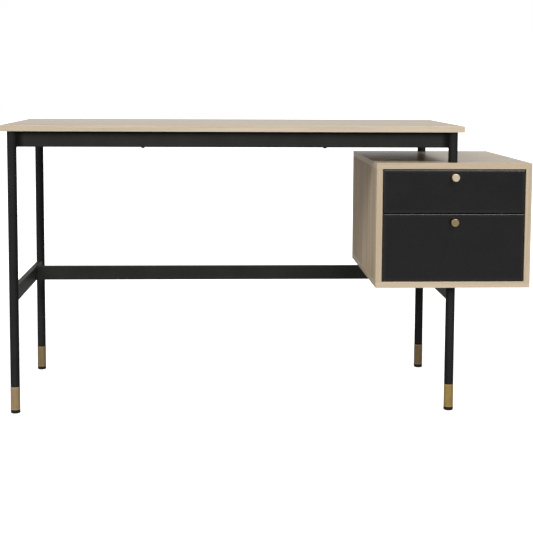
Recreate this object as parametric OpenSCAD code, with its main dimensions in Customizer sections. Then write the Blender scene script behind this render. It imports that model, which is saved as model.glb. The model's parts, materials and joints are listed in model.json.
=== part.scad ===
// Writing desk: an oak-look desktop on a black tube frame, with a two-drawer cabinet that
// hangs between the short and the long right-hand legs.
// Millimetres, +Z up, the drawers open towards -Y.
// The origin is on the floor, under the middle of the whole desk, knobs included.

/* [Desktop] */
// Width of the desktop
desk_w = 1190; // [1000:10:1600]
// Depth of the desktop
desk_d = 500; // [460:10:600]
// Height of the desktop's upper surface above the floor
desk_h = 750; // [720:5:800]
// Thickness of the laminated boards
board_t = 16; // [16:1:22]
// Thickness of the edging strips glued to the boards
edging_t = 1; // [0.4:0.1:2]

/* [Frame] */
// Outer diameter of the leg tubes
leg_dia = 24; // [20:1:28]
// Wall thickness of the leg tubes and the rails
tube_wall = 1.5; // [1:0.1:2]
// Height of the rails and stretchers
rail_h = 40; // [40:1:40]
// Thickness of the rails and stretchers
rail_t = 15; // [12:1:15]
// How far the desktop reaches past the legs at the sides
side_overhang = 15; // [0:5:60]
// How far the desktop reaches past the legs at the front and the back
depth_overhang = 5; // [0:1:20]
// Distance from the rear legs' axis forward to the middle of the long stretcher
stretcher_setback = 116; // [60:1:200]
// Distance of each desktop bolt from the middle of the desktop
desk_bolt_x = 234; // [150:1:350]

/* [Feet] */
// Height of the black foot cap
foot_h = 10; // [8:1:15]
// Height of the brass ferrule above the foot cap
ferrule_h = 60; // [30:5:100]
// Wall thickness of the brass ferrule
ferrule_t = 0.4; // [0.3:0.1:1]

/* [Cabinet] */
// Width of the cabinet
cab_w = 404; // [380:1:460]
// Height of the cabinet
cab_h = 325; // [325:1:340]
// Depth of the cabinet
cab_d = 520; // [515:1:560]
// Height of the cabinet's underside above the floor
cab_base = 331; // [320:1:340]
// How far the cabinet reaches past the desktop at the back
cab_rear_overhang = 8; // [0:1:20]
// Thickness of the back panel
back_t = 5; // [3:1:6]

/* [Drawers] */
// Gap round the drawer fronts
front_gap = 2; // [2:0.5:4]
// Height of the upper drawer front
upper_front_h = 112; // [110:1:125]
// How far the drawer fronts sit behind the cabinet's front edges
front_recess = 1; // [0:0.5:3]
// Thickness of the drawer box boards
box_t = 12; // [12:1:15]
// Height of the upper drawer box
upper_box_h = 70; // [60:1:75]
// Height of the lower drawer box
lower_box_h = 130; // [110:1:130]
// Length of the ball-bearing slides, which is also the drawers' travel
slide_l = 450; // [400:50:450]
// Diameter of the knobs
knob_dia = 20; // [16:1:26]
// How far the knobs stand out from the drawer fronts
knob_l = 20; // [16:1:26]
// Distance from each front's top edge down to its knob's axis, the upper front first
knob_drop = [19, 21]; // [18:1:22]

/* [Hidden] */
$fn = 48;

// Colours
oak = "#c3b49f";
oak_edge = "#d6c4a5";
black_steel = "#2a2c2c";
black_lacquer = "#262626";
brass = "#a88f58";
black_plastic = "#1c1c1c";
zinc = "#b9bcc0";
beech = "#d9b98c";

// A small overlap that lets one cut run clear of the face it opens
eps = 1;
// Clearance round a fastener in its hole
fit_gap = 0.05;

// Plan of the desk
leg_r = leg_dia / 2;
leg_dx = desk_w / 2 - side_overhang - leg_r;
total_w = desk_w / 2 + leg_dx + cab_w / 2;
total_d = cab_d + knob_l - front_recess;
desk_left = -total_w / 2;
desk_mid = desk_left + desk_w / 2;
leg_left = desk_mid - leg_dx;
leg_right = desk_mid + leg_dx;
cab_mid = leg_right;
cab_left = cab_mid - cab_w / 2;
cab_back = total_d / 2;
cab_front = cab_back - cab_d;
cab_depth_mid = cab_back - cab_d / 2;
desk_back = cab_back - cab_rear_overhang;
desk_front = desk_back - desk_d;
leg_front = desk_front + depth_overhang + leg_r;
leg_rear = desk_back - depth_overhang - leg_r;
stretcher_y = leg_rear - stretcher_setback;

// Heights
desk_under = desk_h - board_t;
rail_z = desk_under - rail_h;
cab_top = cab_base + cab_h;
cab_floor = cab_base + board_t;
cab_ceiling = cab_top - board_t;
stretcher_z = cab_base - rail_h;

// Rails
rail_corner_r = 2.5;

// Frame bolts and the threaded inserts that they screw into
bolt_r = 3;
bolt_hole_r = 3.3;
bolt_l = rail_h + 10;
bolt_head_r = 6;
bolt_head_h = 3;
bolt_socket_r = 2;
bolt_socket_depth = 1.6;
insert_r = 4.5;
insert_l = 12;
stretcher_bolt_y = 150;
long_stretcher_bolts = [cab_left + 40, cab_left + 140];

// Bolts that hold the short upper legs to the cabinet top
leg_bolt_r = 4;
leg_bolt_hole_r = 4.4;
leg_bolt_head_r = 7;
leg_bolt_head_h = 3.5;
leg_bolt_reach = 18;
leg_bolt_socket_r = 2.8;
leg_bolt_socket_depth = 2;
plug_l = 20;

// Foot caps
foot_edge_r = 2.5;
foot_spigot_l = 15;

// Cabinet joints
dowel_r = 4;
dowel_l = 30;
dowel_in_panel = 10;
cam_r = 7.5;
cam_depth = 12.5;
cam_drop = 24;
cam_bolt_r = 3.5;
cam_bolt_in_panel = 11;
cam_slot_w = 1.6;
cam_slot_depth = 1.5;
cam_slot_share = 0.6;
dowel_ys = [cab_front + 40, cab_depth_mid, cab_back - 60];
cam_ys = [cab_front + 75, cab_back - 95];
back_inset = 12;
back_groove_depth = 6;
back_groove_gap = 0.2;

// Drawers: item 0 is the upper one and item 1 the lower one
opening_w = cab_w - 2 * board_t;
opening_h = cab_h - 2 * board_t;
lower_front_h = opening_h - 3 * front_gap - upper_front_h;
front_w = opening_w - 2 * front_gap;
front_t = board_t;
front_h = [upper_front_h, lower_front_h];
front_z = [cab_ceiling - front_gap - upper_front_h, cab_floor + front_gap];
front_y = cab_front + front_recess;
box_y = front_y + front_t;
slide_gap = 13;
box_past_slide = 15;
box_w = opening_w - 2 * slide_gap;
box_d = slide_l + box_past_slide;
box_h = [upper_box_h, lower_box_h];
box_lift = 14;
box_z = [front_z[0] + box_lift, front_z[1] + box_lift];
bottom_t = 3;
bottom_up = 8;
bottom_groove_depth = 5;
bottom_gap = 0.1;
box_cam_r = 6;
box_cam_depth = 9.5;
box_cam_drop = 24;
box_cam_bolt_r = 3;
box_cam_bolt_in_front = 11;
box_screw_r = 2.5;
box_screw_head_r = 3.5;
box_screw_head_h = 3;
box_screw_l = 45;
box_joint_up = [[22, upper_box_h - 15], [22, lower_box_h - 15]];

// Ball-bearing slides. Across the gap between cabinet and drawer box, u runs from the
// cabinet side towards the box; up and down, each member is symmetric about its middle.
slide_setback = 2;
slide_up = [30, 40];
slide_y = box_y + slide_setback;
slide_z = box_z + slide_up;
slide_wall = 1.2;
outer_half_h = 22.5;
outer_lip = 1.2;
flange_u = 10.5;
middle_half_h = 17.7;
middle_u = 2.5;
inner_half_h = 12.9;
inner_flange_u = 5.5;
cage_t = 0.7;
cage_l = 200;
ball_r = 1.5;
ball_pitch = 20;
outer_cage_u = 1.5;
outer_cage_tip_u = 8;
outer_ball_u = 6;
inner_cage_u = 4;
inner_cage_tip_u = 9.5;
inner_ball_u = 7.5;
outer_ball_z = (outer_half_h - slide_wall + middle_half_h) / 2;
inner_ball_z = (middle_half_h - slide_wall + inner_half_h) / 2;
slide_screw_r = 1.75;
slide_screw_head_r = 3.4;
slide_screw_l = 9;
slide_screw_ys = [37, 229, slide_l - 37];

// Knobs
knob_r = knob_dia / 2;
knob_base_r = 6;
knob_base_h = 1.5;
knob_neck_r = 4.5;
knob_head_h = 11;
knob_edge_r = 1.2;
knob_dish_r = 6.4;
knob_dish_depth = 0.7;
knob_screw_r = 2;
knob_screw_head_r = 4;
knob_screw_head_h = 2.5;
knob_screw_in_knob = 9;

// ---------------------------------------------------------------- shared shapes

// A box between two corners
module block(low, high) {
    translate(low) cube(high - low);
}

// A rectangle with round corners, about its centre
module round_rect(w, h, r) {
    square([w - 2 * r, h], center = true);
    square([w, h - 2 * r], center = true);
    for (x = [-1, 1], y = [-1, 1])
        translate([x * (w / 2 - r), y * (h / 2 - r)]) circle(r);
}

// The hollow section of every rail and stretcher
module rail_section() {
    difference() {
        round_rect(rail_t, rail_h, rail_corner_r);
        round_rect(rail_t - 2 * tube_wall, rail_h - 2 * tube_wall, rail_corner_r - tube_wall);
    }
}

// A rail along X from x0 to x1, its underside at z
module rail_along_x(x0, x1, y, z) {
    translate([x0, y, z + rail_h / 2]) rotate([90, 0, 90]) linear_extrude(x1 - x0) rail_section();
}

// A rail along Y from y0 to y1, its underside at z
module rail_along_y(y0, y1, x, z) {
    translate([x, y1, z + rail_h / 2]) rotate([90, 0, 0]) linear_extrude(y1 - y0) rail_section();
}

// Takes the round leg tubes out of a rail, so that its ends fit round them
module coped(z) {
    difference() {
        children();
        for (x = [leg_left, leg_right], y = [leg_front, leg_rear])
            translate([x, y, z - eps]) cylinder(r = leg_r, h = rail_h + 2 * eps);
    }
}

// A leg tube from z0 to z1
module leg_tube(x, y, z0, z1) {
    color(black_steel) translate([x, y, z0]) difference() {
        cylinder(r = leg_r, h = z1 - z0);
        translate([0, 0, -eps]) cylinder(r = leg_r - tube_wall, h = z1 - z0 + 2 * eps);
    }
}

// Edging strips round all four edges of a board whose finished outline is given
module edging_frame(low, high) {
    block(low, [high.x, low.y + edging_t, high.z]);
    block([low.x, high.y - edging_t, low.z], high);
    block([low.x, low.y + edging_t, low.z], [low.x + edging_t, high.y - edging_t, high.z]);
    block([high.x - edging_t, low.y + edging_t, low.z], [high.x, high.y - edging_t, high.z]);
}

// ---------------------------------------------------------------- bolt positions

// Places its children under every frame bolt's hole, at the underside of the rail
module at_frame_bolts() {
    at_desktop_bolts() children();
    at_cabinet_bolts() children();
}

module at_desktop_bolts() {
    for (x = [-1, 1], y = [leg_front, leg_rear])
        translate([desk_mid + x * desk_bolt_x, y, rail_z]) children();
}

module at_cabinet_bolts() {
    for (y = [-1, 1])
        translate([leg_right, cab_depth_mid + y * stretcher_bolt_y, stretcher_z]) children();
    for (x = long_stretcher_bolts)
        translate([x, stretcher_y, stretcher_z]) children();
}

module bolt_holes() {
    at_frame_bolts() translate([0, 0, -eps]) cylinder(r = bolt_hole_r, h = rail_h + 2 * eps);
}

module insert_holes() {
    at_frame_bolts() translate([0, 0, rail_h - eps])
        cylinder(r = insert_r + fit_gap, h = insert_l + eps);
}

// Places its children on the axes of the short upper legs, at the cabinet's ceiling
module at_upper_legs() {
    for (y = [leg_front, leg_rear]) translate([leg_right, y, cab_ceiling]) children();
}

// ---------------------------------------------------------------- desktop

module desktop_panel() {
    color(oak) difference() {
        block([desk_left + edging_t, desk_front + edging_t, desk_under],
              [desk_left + desk_w - edging_t, desk_back - edging_t, desk_h]);
        insert_holes();
    }
}

module desktop_edging() {
    color(oak_edge) edging_frame([desk_left, desk_front, desk_under],
                                 [desk_left + desk_w, desk_back, desk_h]);
}

// ---------------------------------------------------------------- frame

module top_rail_along_x(y) {
    color(black_steel) coped(rail_z) difference() {
        rail_along_x(leg_left, leg_right, y, rail_z);
        bolt_holes();
    }
}

module front_rail() { top_rail_along_x(leg_front); }

module rear_rail() { top_rail_along_x(leg_rear); }

module left_top_rail() {
    color(black_steel) coped(rail_z) rail_along_y(leg_front, leg_rear, leg_left, rail_z);
}

module right_top_rail() {
    color(black_steel) coped(rail_z) rail_along_y(leg_front, leg_rear, leg_right, rail_z);
}

module left_side_stretcher() {
    color(black_steel) coped(stretcher_z)
        rail_along_y(leg_front, leg_rear, leg_left, stretcher_z);
}

module right_side_stretcher() {
    color(black_steel) coped(stretcher_z) difference() {
        rail_along_y(leg_front, leg_rear, leg_right, stretcher_z);
        bolt_holes();
    }
}

// Butts against the inner faces of the two side stretchers
module long_stretcher() {
    color(black_steel) difference() {
        rail_along_x(leg_left + rail_t / 2, leg_right - rail_t / 2, stretcher_y, stretcher_z);
        bolt_holes();
    }
}

module left_front_leg() { leg_tube(leg_left, leg_front, foot_h, desk_under); }
module left_rear_leg() { leg_tube(leg_left, leg_rear, foot_h, desk_under); }
module right_front_upper_leg() { leg_tube(leg_right, leg_front, cab_top, desk_under); }
module right_rear_upper_leg() { leg_tube(leg_right, leg_rear, cab_top, desk_under); }
module right_front_lower_leg() { leg_tube(leg_right, leg_front, foot_h, cab_base); }
module right_rear_lower_leg() { leg_tube(leg_right, leg_rear, foot_h, cab_base); }

// ---------------------------------------------------------------- feet

// A brass sleeve over the lower end of a leg
module ferrule(x, y) {
    color(brass) translate([x, y, foot_h]) difference() {
        cylinder(r = leg_r + ferrule_t, h = ferrule_h);
        translate([0, 0, -eps]) cylinder(r = leg_r, h = ferrule_h + 2 * eps);
    }
}

// A plastic cap with a round lower edge, on a spigot that plugs the leg tube
module foot(x, y) {
    rim_r = leg_r + ferrule_t;
    color(black_plastic) translate([x, y, 0]) rotate_extrude() {
        square([rim_r - foot_edge_r, foot_h]);
        translate([0, foot_edge_r]) square([rim_r, foot_h - foot_edge_r]);
        intersection() {
            translate([rim_r - foot_edge_r, foot_edge_r]) circle(foot_edge_r);
            square([rim_r, foot_h]);
        }
        square([leg_r - tube_wall - fit_gap, foot_h + foot_spigot_l]);
    }
}

module left_front_ferrule() { ferrule(leg_left, leg_front); }
module left_rear_ferrule() { ferrule(leg_left, leg_rear); }
module right_front_ferrule() { ferrule(leg_right, leg_front); }
module right_rear_ferrule() { ferrule(leg_right, leg_rear); }
module left_front_foot() { foot(leg_left, leg_front); }
module left_rear_foot() { foot(leg_left, leg_rear); }
module right_front_foot() { foot(leg_right, leg_front); }
module right_rear_foot() { foot(leg_right, leg_rear); }

// ---------------------------------------------------------------- frame fasteners

// A domed head of radius r and height h with its flat side at z = 0, the dome pointing down
module domed_head(r, h) {
    dome_r = (r * r + h * h) / (2 * h);
    intersection() {
        translate([0, 0, dome_r - h]) sphere(dome_r);
        translate([0, 0, -h]) cylinder(r = r, h = h);
    }
}

// A hexagon socket open downwards, at a head's lowest point
module hex_socket(r, head_h, depth) {
    translate([0, 0, -head_h - eps]) cylinder(r = r, h = depth + eps, $fn = 6);
}

module frame_bolts() {
    color(black_steel) at_frame_bolts() difference() {
        union() {
            domed_head(bolt_head_r, bolt_head_h);
            cylinder(r = bolt_r - fit_gap, h = bolt_l);
        }
        hex_socket(bolt_socket_r, bolt_head_h, bolt_socket_depth);
    }
}

module threaded_inserts() {
    color(zinc) at_frame_bolts() translate([0, 0, rail_h]) difference() {
        cylinder(r = insert_r, h = insert_l);
        translate([0, 0, -eps]) cylinder(r = bolt_r, h = insert_l + 2 * eps);
    }
}

// Steel plugs welded into the lower ends of the short upper legs
module upper_leg_plugs() {
    color(zinc) at_upper_legs() translate([0, 0, board_t]) difference() {
        cylinder(r = leg_r - tube_wall, h = plug_l);
        translate([0, 0, -eps]) cylinder(r = leg_bolt_r, h = plug_l + 2 * eps);
    }
}

// Bolts from inside the cabinet, up through its top into the plugs
module upper_leg_bolts() {
    color(zinc) at_upper_legs() difference() {
        union() {
            domed_head(leg_bolt_head_r, leg_bolt_head_h);
            cylinder(r = leg_bolt_r - fit_gap, h = board_t + leg_bolt_reach);
        }
        hex_socket(leg_bolt_socket_r, leg_bolt_head_h, leg_bolt_socket_depth);
    }
}

// ---------------------------------------------------------------- cabinet

// Places its children at the joints between the sides and the top or bottom board.
// Locally z = 0 is the joint, +Z runs into the top or bottom board, and +X into the cabinet.
module at_cabinet_joints(ys) {
    side_dx = (cab_w - board_t) / 2;
    for (s = [-1, 1], top = [0, 1], y = ys)
        translate([cab_mid + s * side_dx, y, top == 1 ? cab_ceiling : cab_floor])
            rotate([0, 0, s == 1 ? 180 : 0]) rotate([top == 1 ? 0 : 180, 0, 0]) children();
}

module dowel_holes() {
    at_cabinet_joints(dowel_ys) translate([0, 0, dowel_in_panel - dowel_l - fit_gap])
        cylinder(r = dowel_r + fit_gap, h = dowel_l + 2 * fit_gap);
}

// The cross bore for a cam and the long bore for its bolt
module cam_holes() {
    at_cabinet_joints(cam_ys) {
        translate([board_t / 2 - cam_depth, 0, -cam_drop]) rotate([0, 90, 0])
            cylinder(r = cam_r + fit_gap, h = cam_depth + eps);
        translate([0, 0, -cam_drop])
            cylinder(r = cam_bolt_r + fit_gap, h = cam_drop + cam_bolt_in_panel + fit_gap);
    }
}

// The groove that the back panel slides into, cut into all four boards round it
module back_groove() {
    rear = cab_back - back_inset;
    block([cab_left + board_t - back_groove_depth, rear - back_t - 2 * back_groove_gap,
           cab_floor - back_groove_depth],
          [cab_left + cab_w - board_t + back_groove_depth, rear, cab_ceiling + back_groove_depth]);
}

// The top or bottom board without its edging, its underside at z
module cabinet_shelf(z) {
    color(oak) difference() {
        block([cab_left + edging_t, cab_front + edging_t, z],
              [cab_left + cab_w - edging_t, cab_back - edging_t, z + board_t]);
        dowel_holes();
        cam_holes();
        back_groove();
        insert_holes();
        at_upper_legs() cylinder(r = leg_bolt_hole_r, h = board_t + eps);
    }
}

module cabinet_top() { cabinet_shelf(cab_ceiling); }

module cabinet_bottom() { cabinet_shelf(cab_base); }

module cabinet_side(x) {
    color(oak) difference() {
        block([x, cab_front + edging_t, cab_floor],
              [x + board_t, cab_back - edging_t, cab_ceiling]);
        dowel_holes();
        cam_holes();
        back_groove();
        at_cabinet_slide_screws() slide_screw(0);
    }
}

module cabinet_left_side() { cabinet_side(cab_left); }

module cabinet_right_side() { cabinet_side(cab_left + cab_w - board_t); }

module cabinet_back() {
    rear = cab_back - back_inset - back_groove_gap;
    inset = board_t - back_groove_depth + back_groove_gap;
    color(oak) block([cab_left + inset, rear - back_t, cab_base + inset],
                     [cab_left + cab_w - inset, rear, cab_top - inset]);
}

module cabinet_edging() {
    right = cab_left + cab_w;
    color(oak_edge) {
        for (z = [cab_base, cab_ceiling])
            edging_frame([cab_left, cab_front, z], [right, cab_back, z + board_t]);
        for (x = [cab_left, right - board_t], y = [cab_front, cab_back - edging_t])
            block([x, y, cab_floor], [x + board_t, y + edging_t, cab_ceiling]);
    }
}

module cabinet_dowels() {
    color(beech) at_cabinet_joints(dowel_ys) translate([0, 0, dowel_in_panel - dowel_l])
        cylinder(r = dowel_r, h = dowel_l);
}

// A cam disc flush with a board's face, its driver slot open towards +X
module cam(r, depth) {
    difference() {
        rotate([0, 90, 0]) cylinder(r = r, h = depth);
        for (a = [0, 90]) translate([depth - cam_slot_depth, 0, 0]) rotate([a, 0, 0])
            translate([0, -r * cam_slot_share, -cam_slot_w / 2])
                cube([cam_slot_depth + eps, 2 * r * cam_slot_share, cam_slot_w]);
    }
}

module cabinet_cam_fittings() {
    color(zinc) at_cabinet_joints(cam_ys) {
        translate([board_t / 2 - cam_depth, 0, -cam_drop]) cam(cam_r, cam_depth);
        translate([0, 0, cam_r + fit_gap - cam_drop])
            cylinder(r = cam_bolt_r, h = cam_drop - cam_r - fit_gap + cam_bolt_in_panel);
    }
}

// ---------------------------------------------------------------- slides

// Places its children at the front end of each slide of one drawer. Locally +X runs from
// the cabinet side towards the drawer box, and +Y runs back along the slide.
module at_slides(i) {
    translate([cab_mid - opening_w / 2, slide_y, slide_z[i]]) children();
    translate([cab_mid + opening_w / 2, slide_y, slide_z[i]]) mirror([1, 0, 0]) children();
}

// Extrudes a section drawn in u and height back along the slide
module along_slide(y0, l) {
    translate([0, y0 + l, 0]) rotate([90, 0, 0]) linear_extrude(l) children();
}

// The same shape above and below the slide's middle
module both_ways() {
    children();
    mirror([0, 1, 0]) children();
}

// A countersunk wood screw into the board at x < 0, its head flush with the web's face
module slide_screw(gap) {
    translate([slide_wall, 0, 0]) rotate([0, -90, 0])
        cylinder(r1 = slide_screw_head_r - gap, r2 = slide_screw_r - gap, h = slide_wall);
    translate([-slide_screw_l, 0, 0]) rotate([0, 90, 0])
        cylinder(r = slide_screw_r - gap, h = slide_screw_l + slide_wall);
}

module at_cabinet_slide_screws() {
    for (i = [0, 1]) at_slides(i)
        for (y = slide_screw_ys) translate([0, y, 0]) children();
}

// The same screws on the drawer box, turned round to point into it
module at_box_slide_screws(i) {
    at_slides(i)
        for (y = slide_screw_ys) translate([slide_gap, y, 0]) mirror([1, 0, 0]) children();
}

module slide_screws() {
    color(zinc) at_cabinet_slide_screws() slide_screw(fit_gap);
}

// Channels screwed to the cabinet sides
module slide_outer_members() {
    color(zinc) difference() {
        for (i = [0, 1]) at_slides(i) along_slide(0, slide_l) {
            translate([0, -outer_half_h]) square([slide_wall, 2 * outer_half_h]);
            both_ways() {
                translate([0, outer_half_h - slide_wall]) square([flange_u, slide_wall]);
                translate([flange_u - slide_wall, outer_half_h - slide_wall - outer_lip])
                    square([slide_wall, outer_lip + slide_wall]);
            }
        }
        at_cabinet_slide_screws() slide_screw(0);
    }
}

// Channels that travel half as far as the drawer
module slide_middle_members(i) {
    color(zinc) at_slides(i) along_slide(0, slide_l) {
        translate([middle_u, -middle_half_h]) square([slide_wall, 2 * middle_half_h]);
        both_ways() translate([middle_u, middle_half_h - slide_wall])
            square([flange_u - middle_u, slide_wall]);
    }
}

// Channels screwed to the drawer box
module slide_inner_members(i) {
    color(zinc) difference() {
        at_slides(i) along_slide(0, slide_l) {
            translate([slide_gap - slide_wall, -inner_half_h])
                square([slide_wall, 2 * inner_half_h]);
            both_ways() translate([inner_flange_u, inner_half_h - slide_wall])
                square([slide_gap - inner_flange_u, slide_wall]);
        }
        at_box_slide_screws(i) slide_screw(0);
    }
}

// A pair of ball cages: a thin channel from u to tip_u that holds two rows of balls
module slide_cages(i, u, tip_u, ball_u, ball_z) {
    cage_y = (slide_l - cage_l) / 2;
    half_h = ball_z + cage_t / 2;
    color(zinc) at_slides(i) {
        along_slide(cage_y, cage_l) {
            translate([u, -half_h]) square([cage_t, 2 * half_h]);
            both_ways() translate([u, half_h - cage_t]) square([tip_u - u, cage_t]);
        }
        for (s = [-1, 1], y = [cage_y + ball_pitch / 2 : ball_pitch : cage_y + cage_l])
            translate([ball_u, y, s * ball_z]) sphere(ball_r);
    }
}

module upper_slide_inner_members() { slide_inner_members(0); }
module lower_slide_inner_members() { slide_inner_members(1); }
module upper_slide_middle_members() { slide_middle_members(0); }
module lower_slide_middle_members() { slide_middle_members(1); }

module outer_cages(i) {
    slide_cages(i, outer_cage_u, outer_cage_tip_u, outer_ball_u, outer_ball_z);
}

module inner_cages(i) {
    slide_cages(i, inner_cage_u, inner_cage_tip_u, inner_ball_u, inner_ball_z);
}

module upper_slide_outer_cages() { outer_cages(0); }
module lower_slide_outer_cages() { outer_cages(1); }
module upper_slide_inner_cages() { inner_cages(0); }
module lower_slide_inner_cages() { inner_cages(1); }

// ---------------------------------------------------------------- drawers

// Places its children where the box sides meet the front. Locally +Y runs back along the
// side, whose middle is at x = 0, and +X runs into the drawer.
module at_front_joints(i) {
    side_dx = (box_w - box_t) / 2;
    for (s = [-1, 1], up = box_joint_up[i])
        translate([cab_mid + s * side_dx, box_y, box_z[i] + up])
            mirror([s == 1 ? 1 : 0, 0, 0]) children();
}

// Places its children on the outer faces of the box sides, on the middle of the back's
// thickness. Locally +X runs into the drawer.
module at_rear_joints(i) {
    for (s = [-1, 1], up = box_joint_up[i])
        translate([cab_mid + s * box_w / 2, box_y + box_d - box_t / 2, box_z[i] + up])
            mirror([s == 1 ? 1 : 0, 0, 0]) children();
}

module box_cam_holes(i) {
    at_front_joints(i) {
        translate([box_t / 2 - box_cam_depth, box_cam_drop, 0]) rotate([0, 90, 0])
            cylinder(r = box_cam_r + fit_gap, h = box_cam_depth + eps);
        translate([0, box_cam_drop, 0]) rotate([90, 0, 0])
            cylinder(r = box_cam_bolt_r + fit_gap,
                     h = box_cam_drop + box_cam_bolt_in_front + fit_gap);
    }
}

module box_cam_fittings(i) {
    at_front_joints(i) {
        translate([box_t / 2 - box_cam_depth, box_cam_drop, 0]) cam(box_cam_r, box_cam_depth);
        translate([0, box_cam_drop - box_cam_r - fit_gap, 0]) rotate([90, 0, 0])
            cylinder(r = box_cam_bolt_r,
                     h = box_cam_drop - box_cam_r - fit_gap + box_cam_bolt_in_front);
    }
}

// A screw that joins a side to the back, its head flush with the side's outer face
module box_screw(gap) {
    rotate([0, 90, 0]) {
        cylinder(r = box_screw_r - gap, h = box_screw_l - gap);
        cylinder(r = box_screw_head_r - gap, h = box_screw_head_h - gap);
    }
}

// The groove for the bottom board, cut into the front, the sides and the back
module bottom_groove(i) {
    half_w = box_w / 2 - box_t + bottom_groove_depth + bottom_gap;
    rear = box_y + box_d - box_t + bottom_groove_depth + bottom_gap;
    z = box_z[i] + bottom_up - bottom_gap;
    block([cab_mid - half_w, box_y - bottom_groove_depth - bottom_gap, z],
          [cab_mid + half_w, rear, z + bottom_t + 2 * bottom_gap]);
}

module drawer_front(i) {
    color(black_lacquer) difference() {
        block([cab_mid - front_w / 2, front_y, front_z[i]],
              [cab_mid + front_w / 2, front_y + front_t, front_z[i] + front_h[i]]);
        bottom_groove(i);
        box_cam_holes(i);
        at_knob(i) translate([0, 0, -front_t - eps])
            cylinder(r = knob_screw_r + fit_gap, h = front_t + 2 * eps);
    }
}

module drawer_side(i, s) {
    low_x = cab_mid + (s == 1 ? box_w / 2 - box_t : -box_w / 2);
    color(oak) difference() {
        block([low_x, box_y, box_z[i]], [low_x + box_t, box_y + box_d, box_z[i] + box_h[i]]);
        bottom_groove(i);
        box_cam_holes(i);
        at_rear_joints(i) translate([-eps, 0, 0]) {
            rotate([0, 90, 0]) cylinder(r = box_screw_r, h = box_screw_l);
            rotate([0, 90, 0]) cylinder(r = box_screw_head_r, h = box_screw_head_h + eps);
        }
        at_box_slide_screws(i) slide_screw(0);
    }
}

module drawer_back(i) {
    half_w = box_w / 2 - box_t;
    rear = box_y + box_d;
    color(oak) difference() {
        block([cab_mid - half_w, rear - box_t, box_z[i]],
              [cab_mid + half_w, rear, box_z[i] + box_h[i]]);
        bottom_groove(i);
        at_rear_joints(i) rotate([0, 90, 0]) cylinder(r = box_screw_r, h = box_screw_l);
    }
}

module drawer_bottom(i) {
    half_w = box_w / 2 - box_t + bottom_groove_depth;
    z = box_z[i] + bottom_up;
    color(oak) block([cab_mid - half_w, box_y - bottom_groove_depth, z],
                     [cab_mid + half_w, box_y + box_d - box_t + bottom_groove_depth,
                      z + bottom_t]);
}

// Places its children on a knob's axis at the drawer front's face, +Z pointing out of it
module at_knob(i) {
    translate([cab_mid, front_y, front_z[i] + front_h[i] - knob_drop[i]]) rotate([90, 0, 0])
        children();
}

// A turned knob: base, neck, and a head with round edges and a dished face
module knob(i) {
    head_z = knob_l - knob_head_h;
    color(brass) at_knob(i) rotate_extrude() difference() {
        union() {
            square([knob_base_r, knob_base_h]);
            square([knob_neck_r, head_z + eps]);
            translate([0, head_z]) square([knob_r - knob_edge_r, knob_head_h]);
            translate([0, head_z + knob_edge_r])
                square([knob_r, knob_head_h - 2 * knob_edge_r]);
            for (z = [head_z + knob_edge_r, knob_l - knob_edge_r])
                translate([knob_r - knob_edge_r, z]) circle(knob_edge_r);
        }
        square([knob_screw_r, knob_screw_in_knob]);
        translate([0, knob_l - knob_dish_depth]) square([knob_dish_r, knob_dish_depth + eps]);
    }
}

module knob_screw(i) {
    at_knob(i) {
        translate([0, 0, -front_t])
            cylinder(r = knob_screw_r - fit_gap, h = front_t + knob_screw_in_knob - fit_gap);
        translate([0, 0, -front_t]) domed_head(knob_screw_head_r, knob_screw_head_h);
    }
}

// The cams and screws that hold a drawer together: corners, slides and knob
module drawer_fasteners(i) {
    color(zinc) {
        box_cam_fittings(i);
        at_rear_joints(i) box_screw(fit_gap);
        at_box_slide_screws(i) slide_screw(fit_gap);
        knob_screw(i);
    }
}

module upper_drawer_front() { drawer_front(0); }
module upper_drawer_left_side() { drawer_side(0, -1); }
module upper_drawer_right_side() { drawer_side(0, 1); }
module upper_drawer_back() { drawer_back(0); }
module upper_drawer_bottom() { drawer_bottom(0); }
module upper_drawer_knob() { knob(0); }
module upper_drawer_fasteners() { drawer_fasteners(0); }
module lower_drawer_front() { drawer_front(1); }
module lower_drawer_left_side() { drawer_side(1, -1); }
module lower_drawer_right_side() { drawer_side(1, 1); }
module lower_drawer_back() { drawer_back(1); }
module lower_drawer_bottom() { drawer_bottom(1); }
module lower_drawer_knob() { knob(1); }
module lower_drawer_fasteners() { drawer_fasteners(1); }

// ---------------------------------------------------------------- nodes

desktop_panel();
desktop_edging();
front_rail();
rear_rail();
left_top_rail();
right_top_rail();
left_front_leg();
left_rear_leg();
right_front_upper_leg();
right_rear_upper_leg();
right_front_lower_leg();
right_rear_lower_leg();
left_side_stretcher();
right_side_stretcher();
long_stretcher();
left_front_ferrule();
left_rear_ferrule();
right_front_ferrule();
right_rear_ferrule();
left_front_foot();
left_rear_foot();
right_front_foot();
right_rear_foot();
frame_bolts();
threaded_inserts();
upper_leg_plugs();
upper_leg_bolts();
cabinet_top();
cabinet_bottom();
cabinet_left_side();
cabinet_right_side();
cabinet_back();
cabinet_edging();
cabinet_dowels();
cabinet_cam_fittings();
slide_outer_members();
slide_screws();
upper_drawer_front();
upper_drawer_left_side();
upper_drawer_right_side();
upper_drawer_back();
upper_drawer_bottom();
upper_drawer_knob();
upper_drawer_fasteners();
upper_slide_inner_members();
upper_slide_middle_members();
upper_slide_outer_cages();
upper_slide_inner_cages();
lower_drawer_front();
lower_drawer_left_side();
lower_drawer_right_side();
lower_drawer_back();
lower_drawer_bottom();
lower_drawer_knob();
lower_drawer_fasteners();
lower_slide_inner_members();
lower_slide_middle_members();
lower_slide_outer_cages();
lower_slide_inner_cages();
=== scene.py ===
"""Writing desk with two drawers: looks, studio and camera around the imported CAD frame."""

import json
import math

import bmesh
import bpy
from mathutils import Matrix, Vector

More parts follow.
